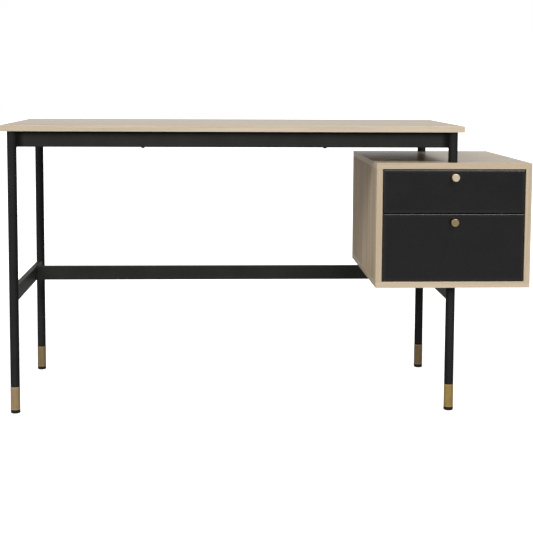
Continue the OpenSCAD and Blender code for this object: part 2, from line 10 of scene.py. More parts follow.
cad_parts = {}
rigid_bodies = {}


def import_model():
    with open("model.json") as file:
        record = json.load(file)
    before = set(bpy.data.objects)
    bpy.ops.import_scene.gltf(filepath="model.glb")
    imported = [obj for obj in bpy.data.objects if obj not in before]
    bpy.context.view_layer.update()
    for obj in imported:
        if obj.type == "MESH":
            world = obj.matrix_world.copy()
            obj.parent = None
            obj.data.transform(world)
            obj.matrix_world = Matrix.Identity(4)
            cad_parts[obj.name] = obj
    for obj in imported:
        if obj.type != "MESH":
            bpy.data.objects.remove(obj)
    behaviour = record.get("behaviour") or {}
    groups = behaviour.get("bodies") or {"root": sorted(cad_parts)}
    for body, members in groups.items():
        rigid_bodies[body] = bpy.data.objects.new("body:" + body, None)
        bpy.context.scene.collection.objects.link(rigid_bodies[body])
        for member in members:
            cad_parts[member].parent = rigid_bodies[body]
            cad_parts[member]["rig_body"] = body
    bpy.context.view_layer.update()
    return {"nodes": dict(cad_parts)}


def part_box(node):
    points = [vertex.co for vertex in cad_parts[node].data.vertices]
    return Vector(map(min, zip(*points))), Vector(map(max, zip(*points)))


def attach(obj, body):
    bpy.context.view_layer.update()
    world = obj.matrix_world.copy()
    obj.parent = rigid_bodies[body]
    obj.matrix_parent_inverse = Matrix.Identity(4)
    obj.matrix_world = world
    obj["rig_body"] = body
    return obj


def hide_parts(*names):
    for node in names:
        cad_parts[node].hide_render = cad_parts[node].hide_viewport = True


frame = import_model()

NODES = frame["nodes"]
# The record's material slot of each CAD node, which its packed material is named after
SLOTS = {name: node.data.materials[0].name for name, node in NODES.items()}
DRAWERS = ("upper", "lower")
MM = 0.001
X_AXIS, Y_AXIS, Z_AXIS = 0, 1, 2

# Camera: where it stands in the row frame, and how it is turned, in radians
CAMERA_PLACE = Vector((-0.1350, -3.2359, 0.8674))
CAMERA_YAW = 0.0435
CAMERA_PITCH = 0.0909
CAMERA_ROLL = 0.0048
CAMERA_LENS = 79.15
CAMERA_SENSOR = 36
CAMERA_SHIFT_Y = -0.15
CAMERA_CLIP = (0.1, 100)

# Floor: its size, its paint as the camera sees it and as it lights the desk, and its glow
FLOOR_SIZE = 60.0
FLOOR_SEEN = (0.92, 0.92, 0.92)
FLOOR_BOUNCE = (0.4, 0.4, 0.4)
FLOOR_ROUGHNESS = 0.9
FLOOR_GLOW = 0.65

# Soft distant lights: azimuth (0 from the front, 90 from the right) and elevation in degrees,
# strength, and how many degrees wide they look
SUNS = {
    "right_light": (20, 37, 1.85, 28),
    "left_light": (-50, 33, 1.0, 26),
    "top_light": (-20, 80, 0.4, 34),
}
# Glows of the surround: the direction, the degrees from it where the glow ends and where it is
# full, and its strength. The rest of the surround is even.
GLOW_BEHIND = ((0, 1, 0.4), 36, 8, 0.6)
GLOW_LEFT = ((-1, -0.35, 0.1), 75, 25, 0.4)
GLOW_RIGHT = ((1, -0.3, 0.1), 60, 20, 0.2)
SURROUND_STRENGTH = 0.19

# Distances within which two points are the same one, and a point lies on a plane
SAME_PLACE = 0.01 * MM
ON_PLANE = 0.05 * MM
# Angles between faces up to which they are one flat face, and are shaded as one
FLAT_ANGLE = math.radians(1)
SMOOTH_ANGLE = math.radians(35)

# Rounding of the edges
EDGING_ROUND = 0.8 * MM
FRONT_ROUND = 2.5 * MM
FERRULE_ROUND = 0.16 * MM
ROUND_STEPS = 3

# Weld beads: thickness, ripple and the ripple's turn at each step, sides and steps, and the
# rounded corners of the rails that they run round
WELD_RADIUS = 1.4 * MM
WELD_RIPPLE = 0.14
WELD_RIPPLE_TURN = 2.4
WELD_SIDES = 8
WELD_STEP = 1.8 * MM
RAIL_CORNER = 2.5 * MM
RAIL_CORNER_STEPS = 3

# Nearly all of a noise's values lie between these
NOISE_LOW, NOISE_HIGH = 0.3, 0.7

# Oak's noise layers: features to the metre along the grain and across it, and then the
# noise's detail, roughness and distortion
OAK_BAND = (0.7, 16, 3, 0.55, 0.6)
OAK_FIGURE = (2.2, 75, 3, 0.6, 0.35)
OAK_FIBRE = (9, 420, 4, 0.65)
OAK_PORE = (28, 820, 2, 0.6)

# Oak: which way a seed moves the noise, how much each layer counts in the colour, where the
# tones lie, what a pore does, and how the fibres change the roughness and stand up
OAK_OFFSET = (1, 1.7, 2.3)
BAND_SHARE, FIGURE_SHARE, FIBRE_SHARE = 0.5, 0.32, 0.18
OAK_STOPS = (0.38, 0.5, 0.62)
PORE_RANGE = (0.6, 0.72)
PORE_DARKENING = 0.3
PORE_ROUGHENING = 0.12
FIBRE_ROUGHENING = (-0.05, 0.04)
FIBRE_HEIGHT = 0.5
OAK_RELIEF = 0.05 * MM

# Oak tones: dark, middle and light
OAK_TONES = ((0.425, 0.335, 0.228), (0.515, 0.415, 0.295), (0.585, 0.482, 0.352))
SIDE_TONES = ((0.34, 0.255, 0.16), (0.52, 0.41, 0.28), (0.6, 0.49, 0.345))
EDGE_TONES = ((0.49, 0.385, 0.26), (0.58, 0.465, 0.325), (0.66, 0.54, 0.39))
# The desk's edging is a lighter copy of the cabinet's: painted light, as more light reaches it
DESK_EDGE_TONES = ((0.55, 0.445, 0.32), (0.645, 0.535, 0.398), (0.725, 0.607, 0.462))
BEECH_TONES = ((0.5, 0.35, 0.2), (0.6, 0.44, 0.27), (0.68, 0.52, 0.34))

# Black paint: its slow change in colour and sheen, its orange peel and its dust specks. Its
# noise layers are features to the metre, detail and roughness.
PAINT_OFFSET = (1, 2.1, 0.7)
PAINT_CLOUD = (11, 3, 0.6)
CLOUD_TONES = (0.86, 1.14)
CLOUD_ROUGHENING = (-0.04, 0.04)
PEEL_ROUGHENING = (-0.03, 0.03)
PEEL_RELIEF = 0.03 * MM
PAINT_SPECK = (900, 1, 0.4)
SPECK_RANGE = (0.74, 0.8)
SPECK_SHARE = 0.5
SPECK_LIGHTER = 3
LEG_PAINT = (0.0178, 0.018, 0.0181)
RAIL_PAINT = (0.0232, 0.0232, 0.0218)
FRONT_RAIL_PAINT = (0.0243, 0.0243, 0.0226)
LACQUER = (0.0052, 0.0051, 0.0051)

# Painted highlights along the drawer fronts' edges, where the rounding catches the light: how
# wide the edge and the band along it are, and how many times lighter than the lacquer the band
# and the edge are
HIGHLIGHT_NARROW = 2.6 * MM
HIGHLIGHT_WIDE = 10 * MM
BAND_HIGHLIGHT_LIGHTER = 2
EDGE_HIGHLIGHT_LIGHTER = 6

# Painted shade on the tubes: deeper black on their left and right than on their front, as the
# light falls. The colour's factor on the sides and on the front, and how far the surface may
# face forwards before the deepest black starts to fade
TUBE_SHADE_FACTORS = (0.3, 1.08)
TUBE_SIDE = 0.35

# Painted shade on the front rail: deeper black beside the legs and under the desktop, where
# their shadows fall. From each end it is at its full depth, a factor of the colour, up to the
# start of its fading. From the top it fades on the way down.
RAIL_SHADE_FADE_START = 10 * MM
RAIL_SHADE_FADE_END = 24 * MM
RAIL_SHADE_END_FACTOR = 0.05
RAIL_SHADE_DOWN = 18 * MM
RAIL_SHADE_TOP_FACTOR = 0.25

# Metal's noise layers: features to the metre, detail and roughness. A streak's features are
# first those along it and then those across it, and a brush line's are those along it.
METAL_BRUSH = (14, 3, 0.6)
METAL_TARNISH = (45, 3, 0.55)
METAL_STREAK = (9, 330, 2, 0.5)
METAL_RING_DETAIL = 2

# Metal: how much each layer counts, where the tones lie, and what the brush lines do
BRUSH_SHARE, TARNISH_SHARE = 0.45, 0.55
RING_SHARE, STREAK_SHARE = 0.6, 0.55
METAL_STOPS = (0.35, 0.65)
BRUSH_ROUGHENING = (-0.06, 0.08)
BRUSH_RELIEF = 0.01 * MM

# Painted glints that brighten the ferrules' rims: their width and how much brighter they are
RIM_WIDTH = 2.2 * MM
RIM_GLINT_BRIGHTER = 1.15

# Brass and zinc tones: dark and light. The ferrules' tones and the knobs' tones are lit and
# shaded copies of one brass: painted light and shade.
# Each ferrule's tones paint how much light reaches its corner: the rear ones darker
FERRULE_TONES = {
    "left_front": ((0.46, 0.335, 0.175), (0.68, 0.505, 0.29)),
    "left_rear": ((0.31, 0.215, 0.115), (0.51, 0.375, 0.215)),
    "right_front": ((0.48, 0.335, 0.11), (0.67, 0.485, 0.18)),
    "right_rear": ((0.2, 0.135, 0.06), (0.44, 0.315, 0.165)),
}
FERRULE_SEEDS = {"left_front": 10, "left_rear": 9, "right_front": 11, "right_rear": 10}
# The upper knob is a lit copy and the lower a shaded copy of one brass: painted light and shade
UPPER_KNOB_TONES = ((0.92, 0.76, 0.54), (1.0, 0.9, 0.7))
LOWER_KNOB_TONES = ((0.52, 0.39, 0.21), (0.7, 0.54, 0.31))
ZINC_TONES = ((0.5, 0.51, 0.53), (0.66, 0.67, 0.69))

# Moulded plastic: its spark-eroded grain and its slow change in colour
SPARK_SCALE = 1500
SPARK_ROUGHENING = (-0.05, 0.08)
SPARK_RELIEF = 0.02 * MM
MOULD_SCALE = 60
MOULD_TONES = (0.85, 1.2)
FOOT_BLACK = (0.009, 0.009, 0.009)


# ---------------------------------------------------------------- material helpers


def new_material(name):
    """A material with a Principled shader, its node tree and that shader."""
    material = bpy.data.materials.new(name)
    material.use_nodes = True
    tree = material.node_tree
    return material, tree, tree.nodes["Principled BSDF"]


def add(tree, kind, inputs=None, **settings):
    """A new node, with its settings, and its inputs as values or as sockets to link."""
    node = tree.nodes.new("ShaderNode" + kind)
    for key, value in settings.items():
        setattr(node, key, value)
    for key, value in (inputs or {}).items():
        if isinstance(value, bpy.types.NodeSocket):
            tree.links.new(value, node.inputs[key])
        else:
            node.inputs[key].default_value = value
    return node


def scaled_place(tree, scale=(1, 1, 1), offset=(0, 0, 0)):
    """The object's own coordinates, multiplied per axis by scale and then moved by offset."""
    place = add(tree, "TexCoord").outputs["Object"]
    return add(
        tree, "VectorMath", {0: place, 1: scale, 2: offset}, operation="MULTIPLY_ADD"
    ).outputs[0]


def noise(tree, scale, offset=(0, 0, 0), detail=2.0, roughness=0.5, distortion=0.0):
    """A noise in features to the metre, which are one number or one for each axis."""
    place = scaled_place(tree, [scale] * 3 if isinstance(scale, (int, float)) else scale, offset)
    settings = {
        "Vector": place, "Scale": 1.0, "Detail": detail,
        "Roughness": roughness, "Distortion": distortion,
    }
    return add(tree, "TexNoise", settings).outputs["Fac"]


def even_layer(tree, layer, offset):
    """A noise layer with the same scale along every axis."""
    scale, *character = layer
    return noise(tree, scale, offset, *character)


def layer_along(tree, layer, axis, offset, finer=1.0):
    """A noise layer with one scale along an axis, and another, times finer, across it."""
    lengthwise, across, *character = layer
    scale = [across * finer] * 3
    scale[axis] = lengthwise
    return noise(tree, scale, offset, *character)


def ramp(tree, value, stops):
    """A colour ramp through (position, colour) stops."""
    node = add(tree, "ValToRGB", {"Fac": value})
    elements = node.color_ramp.elements
    while len(elements) < len(stops):
        elements.new(0.5)
    for element, (position, colour) in zip(elements, stops):
        element.position = position
        element.color = (*colour, 1.0)
    return node.outputs["Color"]


def spread(tree, value, low_in, high_in, low_out, high_out):
    """The value mapped from one range to another, and held at its ends."""
    inputs = {
        "Value": value, "From Min": low_in, "From Max": high_in,
        "To Min": low_out, "To Max": high_out,
    }
    return add(tree, "MapRange", inputs).outputs["Result"]


def varied(tree, value, middle, swing):
    """A number that a noise moves from its middle by a swing, given as (down, up)."""
    return spread(tree, value, NOISE_LOW, NOISE_HIGH, middle + swing[0], middle + swing[1])


def maths(tree, operation, a, b=0):
    """The result of an operation on one or two values."""
    return add(tree, "Math", {0: a, 1: b}, operation=operation).outputs[0]


def weighted(tree, *parts):
    """The sum of (value, share) parts."""
    total = None
    for value, share in parts:
        part = maths(tree, "MULTIPLY", value, share)
        total = maths(tree, "ADD", total, part) if total else part
    return total


def tinted(tree, colour, factor, tint, mode="MIX"):
    """A colour mixed with a tint by a factor."""
    node = add(tree, "Mix", data_type="RGBA", blend_type=mode)
    for key, value in (("Factor", factor), ("A", colour), ("B", tint)):
        socket = next(s for s in node.inputs if s.name == key and s.enabled)
        if isinstance(value, bpy.types.NodeSocket):
            tree.links.new(value, socket)
        else:
            socket.default_value = (*value, 1.0)
    return next(s for s in node.outputs if s.enabled)


def shade(colour, factor):
    """A colour made darker or lighter by a factor."""
    return [min(1, c * factor) for c in colour]


def clouded(tree, value, base, factors):
    """A colour that a noise moves between its shades by two factors."""
    dark, light = (shade(base, factor) for factor in factors)
    return ramp(tree, value, [(NOISE_LOW, dark), (NOISE_HIGH, light)])


def bump(tree, shader, height, distance):
    """Raises the surface by height times a distance in metres."""
    node = add(tree, "Bump", {"Height": height, "Distance": distance, "Strength": 1.0})
    tree.links.new(node.outputs["Normal"], shader.inputs["Normal"])


def centre(node):
    """The middle of a CAD node's box."""
    low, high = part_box(node)
    return (low + high) / 2


# ---------------------------------------------------------------- materials


def oak(name, axis, tones, seed, finer=1.0, roughness=0.5, specular=0.35):
    """Oak-look laminate with its grain along one axis: slow bands, fibres and pores."""
    material, tree, shader = new_material(name)
    offset = [seed * o for o in OAK_OFFSET]
    band = layer_along(tree, OAK_BAND, axis, offset, finer)
    figure = layer_along(tree, OAK_FIGURE, axis, offset, finer)
    fibre = layer_along(tree, OAK_FIBRE, axis, offset)
    pore = spread(tree, layer_along(tree, OAK_PORE, axis, offset), *PORE_RANGE, 0, 1)
    grain = weighted(tree, (band, BAND_SHARE), (figure, FIGURE_SHARE), (fibre, FIBRE_SHARE))
    colour = ramp(tree, grain, list(zip(OAK_STOPS, tones)))
    pore_dark = maths(tree, "MULTIPLY", pore, PORE_DARKENING)
    colour = tinted(tree, colour, pore_dark, tones[0], "MULTIPLY")
    tree.links.new(colour, shader.inputs["Base Color"])
    fibre_rough = varied(tree, fibre, roughness, FIBRE_ROUGHENING)
    pore_rough = maths(tree, "MULTIPLY", pore, PORE_ROUGHENING)
    tree.links.new(maths(tree, "ADD", fibre_rough, pore_rough), shader.inputs["Roughness"])
    shader.inputs["Specular IOR Level"].default_value = specular
    relief = maths(tree, "SUBTRACT", maths(tree, "MULTIPLY", fibre, FIBRE_HEIGHT), pore)
    bump(tree, shader, relief, OAK_RELIEF)
    return material


def in_each_direction(name, tones, seed, **look):
    """The same wood with its grain along X, along Y and along Z."""
    return [oak(f"{name}_{'xyz'[a]}", a, tones, seed + a, **look) for a in range(3)]


def edge_distance(tree, low, high):
    """How far a place on an upright board's face is from the board's nearest edge."""
    place = add(tree, "SeparateXYZ", {0: scaled_place(tree)})
    nearest = None
    for axis in (X_AXIS, Z_AXIS):
        middle, half = (low[axis] + high[axis]) / 2, (high[axis] - low[axis]) / 2
        away = maths(tree, "ABSOLUTE", maths(tree, "SUBTRACT", place.outputs[axis], middle))
        inwards = maths(tree, "SUBTRACT", half, away)
        nearest = maths(tree, "MINIMUM", nearest, inwards) if nearest else inwards
    return nearest


def tube_painted_shade(tree):
    """Painted shade: deeper black on a tube's left and right than on its front and back."""
    normal = add(tree, "SeparateXYZ", {0: add(tree, "NewGeometry").outputs["Normal"]})
    facing = maths(tree, "ABSOLUTE", normal.outputs[Y_AXIS])
    return spread(tree, facing, TUBE_SIDE, 1, *TUBE_SHADE_FACTORS)


def rail_painted_shade(tree):
    """Painted shade: deeper black at the front rail's ends, beside the legs, and under the
    desktop, where they shade it.
    """
    low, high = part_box("front_rail")
    place = add(tree, "SeparateXYZ", {0: scaled_place(tree)})
    x, z = place.outputs[X_AXIS], place.outputs[Z_AXIS]
    from_left = maths(tree, "SUBTRACT", x, low.x)
    from_right = maths(tree, "SUBTRACT", high.x, x)
    inwards = maths(tree, "MINIMUM", from_left, from_right)
    down = maths(tree, "SUBTRACT", high.z, z)
    ends = spread(tree, inwards, RAIL_SHADE_FADE_START, RAIL_SHADE_FADE_END, RAIL_SHADE_END_FACTOR, 1)
    top = spread(tree, down, 0, RAIL_SHADE_DOWN, RAIL_SHADE_TOP_FACTOR, 1)
    return maths(tree, "MULTIPLY", ends, top)


def satin_black(name, base, roughness, peel, specular, seed, board=None, tone=None):
    """Black paint with an orange peel of the given size, a slow sheen change and dust specks.

    Where a board's box is given, a painted highlight makes it a little lighter along the
    edges. A tone is a function that gives the factor of the colour at each place, used for
    painted shade.
    """
    material, tree, shader = new_material(name)
    offset = [seed * o for o in PAINT_OFFSET]
    cloud = even_layer(tree, PAINT_CLOUD, offset)
    bumps = noise(tree, 1 / peel, offset)
    speck = even_layer(tree, PAINT_SPECK, offset)
    speck = spread(tree, speck, *SPECK_RANGE, 0, SPECK_SHARE)
    colour = clouded(tree, cloud, base, CLOUD_TONES)
    colour = tinted(tree, colour, speck, shade(base, SPECK_LIGHTER))
    if board:
        # Painted highlight: lighter colour along the board's edges
        inwards = edge_distance(tree, *board)
        near = spread(tree, inwards, HIGHLIGHT_WIDE, HIGHLIGHT_NARROW, 0, 1)
        rounded = spread(tree, inwards, HIGHLIGHT_NARROW, 0, 0, 1)
        colour = tinted(tree, colour, near, shade(base, BAND_HIGHLIGHT_LIGHTER))
        colour = tinted(tree, colour, rounded, shade(base, EDGE_HIGHLIGHT_LIGHTER))
    if tone:
        toned = add(tree, "VectorMath", {0: colour, "Scale": tone(tree)}, operation="SCALE")
        colour = toned.outputs[0]
    tree.links.new(colour, shader.inputs["Base Color"])
    cloud_rough = varied(tree, cloud, roughness, CLOUD_ROUGHENING)
    peel_rough = varied(tree, bumps, 0, PEEL_ROUGHENING)
    tree.links.new(maths(tree, "ADD", cloud_rough, peel_rough), shader.inputs["Roughness"])
    shader.inputs["Specular IOR Level"].default_value = specular
    bump(tree, shader, bumps, PEEL_RELIEF)
    return material


def turning_marks(tree, hub, axis, lines):
    """Fine rings about a point, on a face across the axis."""
    flat = [1, 1, 1]
    flat[axis] = 0
    place = scaled_place(tree, flat, [-c * f for c, f in zip(hub, flat)])
    away = add(tree, "VectorMath", {0: place}, operation="LENGTH").outputs["Value"]
    settings = {"W": away, "Scale": lines, "Detail": METAL_RING_DETAIL}
    return add(tree, "TexNoise", settings, noise_dimensions="1D").outputs["Fac"]


def outside(tree, axis, low, high):
    """1 where a place is below low or above high along an axis, and 0 between them."""
    height = add(tree, "SeparateXYZ", {0: scaled_place(tree)}).outputs[axis]
    below = maths(tree, "LESS_THAN", height, low)
    above = maths(tree, "GREATER_THAN", height, high)
    return maths(tree, "ADD", below, above)


def brushed_metal(name, tones, roughness, axis, lines, seed, hub=None, rims=None):
    """Metal with fine brush lines that run round the given axis, and a slow tarnish.

    Where hub is given, the lines are also the turning marks about that point. Where rims
    is given, the metal is streaked along the axis, and a painted glint makes it brighter
    beyond those two places along it.
    """
    material, tree, shader = new_material(name)
    offset = [seed] * 3
    brush = layer_along(tree, (lines, *METAL_BRUSH), axis, offset)
    if hub:
        rings = turning_marks(tree, hub, axis, lines)
        brush = weighted(tree, (brush, 1 - RING_SHARE), (rings, RING_SHARE))
    tarnish = even_layer(tree, METAL_TARNISH, offset)
    tone = weighted(tree, (brush, BRUSH_SHARE), (tarnish, TARNISH_SHARE))
    if rims:
        streak = layer_along(tree, METAL_STREAK, axis, offset)
        tone = weighted(tree, (tone, 1 - STREAK_SHARE), (streak, STREAK_SHARE))
    colour = ramp(tree, tone, list(zip(METAL_STOPS, tones)))
    if rims:
        # Painted glint: brighter metal on the rims
        on_glint = outside(tree, axis, *rims)
        colour = tinted(tree, colour, on_glint, shade(tones[1], RIM_GLINT_BRIGHTER))
    tree.links.new(colour, shader.inputs["Base Color"])
    rough = varied(tree, brush, roughness, BRUSH_ROUGHENING)
    tree.links.new(rough, shader.inputs["Roughness"])
    shader.inputs["Metallic"].default_value = 1.0
    bump(tree, shader, brush, BRUSH_RELIEF)
    return material


def ferrule_brass(corner):
    """The satin brass of one ferrule, streaked and tarnished, in tones of its own that paint the
    light and shade at its corner.
    """
    low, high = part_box(f"{corner}_ferrule")
    return brushed_metal(
        f"{corner}_ferrule_brass", FERRULE_TONES[corner], roughness=0.46, axis=Z_AXIS,
        lines=2600, seed=FERRULE_SEEDS[corner], rims=(low.z + RIM_WIDTH, high.z - RIM_WIDTH),
    )


def knob_brass(drawer, tones, roughness, seed):
    """The brass of one drawer's knob, with its turning marks, in tones that paint its light."""
    return brushed_metal(
        f"{drawer}_knob_brass", tones, roughness, axis=Y_AXIS, lines=1600, seed=seed,
        hub=centre(f"{drawer}_drawer_knob"),
    )


def moulded_plastic(name, base, roughness, specular):
    """Plastic with a fine spark-eroded grain."""
    material, tree, shader = new_material(name)
    grain = noise(tree, SPARK_SCALE)
    colour = clouded(tree, noise(tree, MOULD_SCALE), base, MOULD_TONES)
    tree.links.new(colour, shader.inputs["Base Color"])
    rough = varied(tree, grain, roughness, SPARK_ROUGHENING)
    tree.links.new(rough, shader.inputs["Roughness"])
    shader.inputs["Specular IOR Level"].default_value = specular
    bump(tree, shader, grain, SPARK_RELIEF)
    return material


def powder_coat(name, base, specular, seed, tone=None):
    """The black powder coat of the frame."""
    return satin_black(
        f"{name}_powder_coat", base, roughness=0.46, peel=1.1 * MM, specular=specular,
        seed=seed, tone=tone,
    )


def front_lacquer(drawer, seed):
    """The black satin lacquer of one drawer's front, with painted highlights along its edges."""
    return satin_black(
        f"{drawer}_front_lacquer", LACQUER, roughness=0.26, peel=0.8 * MM, specular=0.52,
        seed=seed, board=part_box(f"{drawer}_drawer_front"),
    )


MATT = {"roughness": 0.55, "specular": 0.14}
CABINET_SIDE = oak("oak_cabinet_side", Z_AXIS, SIDE_TONES, seed=4.6, finer=1.3, **MATT)
LAMINATE = in_each_direction("oak_laminate", OAK_TONES, seed=3.1, **MATT)
WORKTOP = oak("oak_worktop", X_AXIS, OAK_TONES, seed=5.3, roughness=0.33, specular=0.5)
EDGING = in_each_direction(
    "oak_edging", EDGE_TONES, seed=7.4, finer=1.6, roughness=0.4, specular=0.45
)
DESK_EDGING = in_each_direction("desk_edging", DESK_EDGE_TONES, seed=2.2, finer=1.6)
BEECH = oak("dowel_beech_grain", X_AXIS, BEECH_TONES, seed=9.0, finer=3.0)
# The frame's paint carries painted shade: deeper black on the sides of the tubes and welds
LEG_BLACK = powder_coat("leg", LEG_PAINT, specular=0.1, seed=1.3, tone=tube_painted_shade)
RAIL_BLACK = powder_coat("rail", RAIL_PAINT, specular=0.14, seed=2.6)
# The front rail's paint carries painted shade at its ends and under the desktop
FRONT_RAIL_BLACK = powder_coat(
    "front_rail", FRONT_RAIL_PAINT, specular=0.14, seed=3.7, tone=rail_painted_shade
)
ZINC = brushed_metal("zinc_plate", ZINC_TONES, roughness=0.34, axis=Z_AXIS, lines=900, seed=6)
FOOT_PLASTIC = moulded_plastic("foot_cap_plastic", FOOT_BLACK, roughness=0.5, specular=0.35)

BY_NODE = {
    "desktop_panel": WORKTOP,
    "cabinet_top": WORKTOP,
    "cabinet_left_side": CABINET_SIDE,
    "cabinet_right_side": CABINET_SIDE,
    "front_rail": FRONT_RAIL_BLACK,
    "upper_drawer_front": front_lacquer("upper", seed=5.2),
    "lower_drawer_front": front_lacquer("lower", seed=7.9),
    "upper_drawer_knob": knob_brass("upper", UPPER_KNOB_TONES, roughness=0.44, seed=4),
    "lower_drawer_knob": knob_brass("lower", LOWER_KNOB_TONES, roughness=0.3, seed=9),
}
BY_NODE.update({f"{corner}_ferrule": ferrule_brass(corner) for corner in FERRULE_TONES})
BY_SLOT = {
    "frame_black": LEG_BLACK,
    "fastener_black": LEG_BLACK,
    "foot_plastic": FOOT_PLASTIC,
    "slide_zinc": ZINC,
    "fastener_zinc": ZINC,
    "dowel_beech": BEECH,
}


def material_for(node):
    """The material of a CAD node: its own, its slot's, or wood with its grain along it."""
    slot = SLOTS[node]
    if node in BY_NODE:
        return BY_NODE[node]
    if node.endswith(("rail", "stretcher")):
        return RAIL_BLACK
    if slot in BY_SLOT:
        return BY_SLOT[slot]
    axis = Z_AXIS if node == "cabinet_back" else longest_axis(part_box(node))
    return (EDGING if slot == "oak_edging" else LAMINATE)[axis]


def dress_nodes():
    """Gives every CAD node its procedural material."""
    for name, node in NODES.items():
        node.data.materials[0] = material_for(name)


# ---------------------------------------------------------------- shapes from the CAD


def longest_axis(box):
    """The axis along which a box reaches furthest."""
    sizes = [high - low for low, high in zip(*box)]
    return sizes.index(max(sizes))


def on_planes(place, low, high):
    """The outer planes of a box that a point lies on."""
    planes = {(a, 0) for a in range(3) if abs(place[a] - low[a]) < ON_PLANE}
    return planes | {(a, 1) for a in range(3) if abs(place[a] - high[a]) < ON_PLANE}


def shared_planes(edge, low, high):
    """The outer planes of a box that a whole edge lies on."""
    return set.intersection(*(on_planes(v.co, low, high) for v in edge.verts))


def joined_copy(node):
    """The CAD node's mesh as a bmesh, its corners joined and its flat faces whole."""
    shape = bmesh.new()
    shape.from_mesh(NODES[node].data)
    bmesh.ops.remove_doubles(shape, verts=shape.verts, dist=SAME_PLACE)
    bmesh.ops.dissolve_limit(shape, angle_limit=FLAT_ANGLE, verts=shape.verts, edges=shape.edges)
    return shape


def round_off(shape, edges, radius):
    """Rounds these edges of a bmesh."""
    bmesh.ops.bevel(
        shape, geom=edges, offset=radius, segments=ROUND_STEPS,
        profile=0.5, affect="EDGES", clamp_overlap=True,
    )


def finished_piece(name, shape, materials, body, replaced=()):
    """A new piece made from a bmesh, which rides on a body and may stand for CAD nodes."""
    mesh = bpy.data.meshes.new(name)
    shape.to_mesh(mesh)
    shape.free()
    for material in materials:
        mesh.materials.append(material)
    piece = bpy.data.objects.new(name, mesh)
    bpy.context.scene.collection.objects.link(piece)
    mesh.shade_smooth()
    mesh.set_sharp_from_angle(angle=SMOOTH_ANGLE)
    weighted_normal = piece.modifiers.new("face_weights", "WEIGHTED_NORMAL")
    weighted_normal.keep_sharp = True
    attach(piece, body)
    if replaced:
        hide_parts(*replaced)
    return piece


def rounded_copy(node, name, radius):
    """The CAD node again, with every outer edge of its box rounded."""
    low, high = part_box(node)
    shape = joined_copy(node)
    round_off(shape, [e for e in shape.edges if len(shared_planes(e, low, high)) > 1], radius)
    body = NODES[node]["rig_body"]
    return finished_piece(name, shape, [material_for(node)], body, [node])


# ---------------------------------------------------------------- edging


def edge_strip(shape, low, high, face, outer):
    """One edging strip between two corners, with its grain along its length.

    face is the plane that it shows, and its arrises are rounded: both long ones, and the
    ends that are corners of the outer box.
    """
    made = bmesh.ops.create_cube(shape, size=1.0)["verts"]
    for vert in made:
        vert.co = Vector(high[a] if vert.co[a] > 0 else low[a] for a in range(3))
    grain = longest_axis((low, high))
    # Each edge once, in the order of the corners
    edges = dict.fromkeys(e for v in made for e in v.link_edges)
    shown = []
    for edge in edges:
        if face not in shared_planes(edge, low, high):
            continue
        lengthwise = abs(edge.verts[0].co[grain] - edge.verts[1].co[grain]) > SAME_PLACE
        if lengthwise or len(shared_planes(edge, *outer)) > 1:
            shown.append(edge)
    for part in {f for v in made for f in v.link_faces}:
        part.material_index = grain
    round_off(shape, shown, EDGING_ROUND)


def edge_ring(shape, board, outer):
    """Strips round the four edges of a level board. The front and back ones cover its corners."""
    (x0, y0, z0), (x1, y1, z1) = board
    left, front, _ = outer[0]
    right, back, _ = outer[1]
    for low_y, high_y, side in ((front, y0, 0), (y1, back, 1)):
        edge_strip(shape, (left, low_y, z0), (right, high_y, z1), (Y_AXIS, side), outer)
    for low_x, high_x, side in ((left, x0, 0), (x1, right, 1)):
        edge_strip(shape, (low_x, y0, z0), (high_x, y1, z1), (X_AXIS, side), outer)


def desktop_edge_bands():
    """The strips round the desktop."""
    shape = bmesh.new()
    edge_ring(shape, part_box("desktop_panel"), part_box("desktop_edging"))
    finished_piece("desktop_edge_bands", shape, DESK_EDGING, "desk", ["desktop_edging"])


def cabinet_edge_bands():
    """The strips round the cabinet's top and bottom, and on its sides' front and back edges."""
    shape = bmesh.new()
    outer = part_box("cabinet_edging")
    for board in ("cabinet_top", "cabinet_bottom"):
        edge_ring(shape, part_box(board), outer)
    for board in ("cabinet_left_side", "cabinet_right_side"):
        (x0, y0, z0), (x1, y1, z1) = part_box(board)
        for low_y, high_y, side in ((outer[0].y, y0, 0), (y1, outer[1].y, 1)):
            edge_strip(shape, (x0, low_y, z0), (x1, high_y, z1), (Y_AXIS, side), outer)
    finished_piece("cabinet_edge_bands", shape, EDGING, "desk", ["cabinet_edging"])


# ---------------------------------------------------------------- welds


def section_outline(width, height):
    """Evenly spaced points round a rail's section, about its middle, as (sideways, up)."""
    corners = []
    for corner, (to_side, to_top) in enumerate(((1, 1), (-1, 1), (-1, -1), (1, -1))):
        for i in range(RAIL_CORNER_STEPS + 1):
            turn = math.radians(90 * (corner + i / RAIL_CORNER_STEPS))
            corners.append(Vector((
                to_side * (width / 2 - RAIL_CORNER) + RAIL_CORNER * math.cos(turn),
                to_top * (height / 2 - RAIL_CORNER) + RAIL_CORNER * math.sin(turn),
            )))
    points = []
    for start, end in zip(corners, corners[1:] + corners[:1]):
        count = max(1, round((end - start).length / WELD_STEP))
        points += [start.lerp(end, i / count) for i in range(count)]
    return points


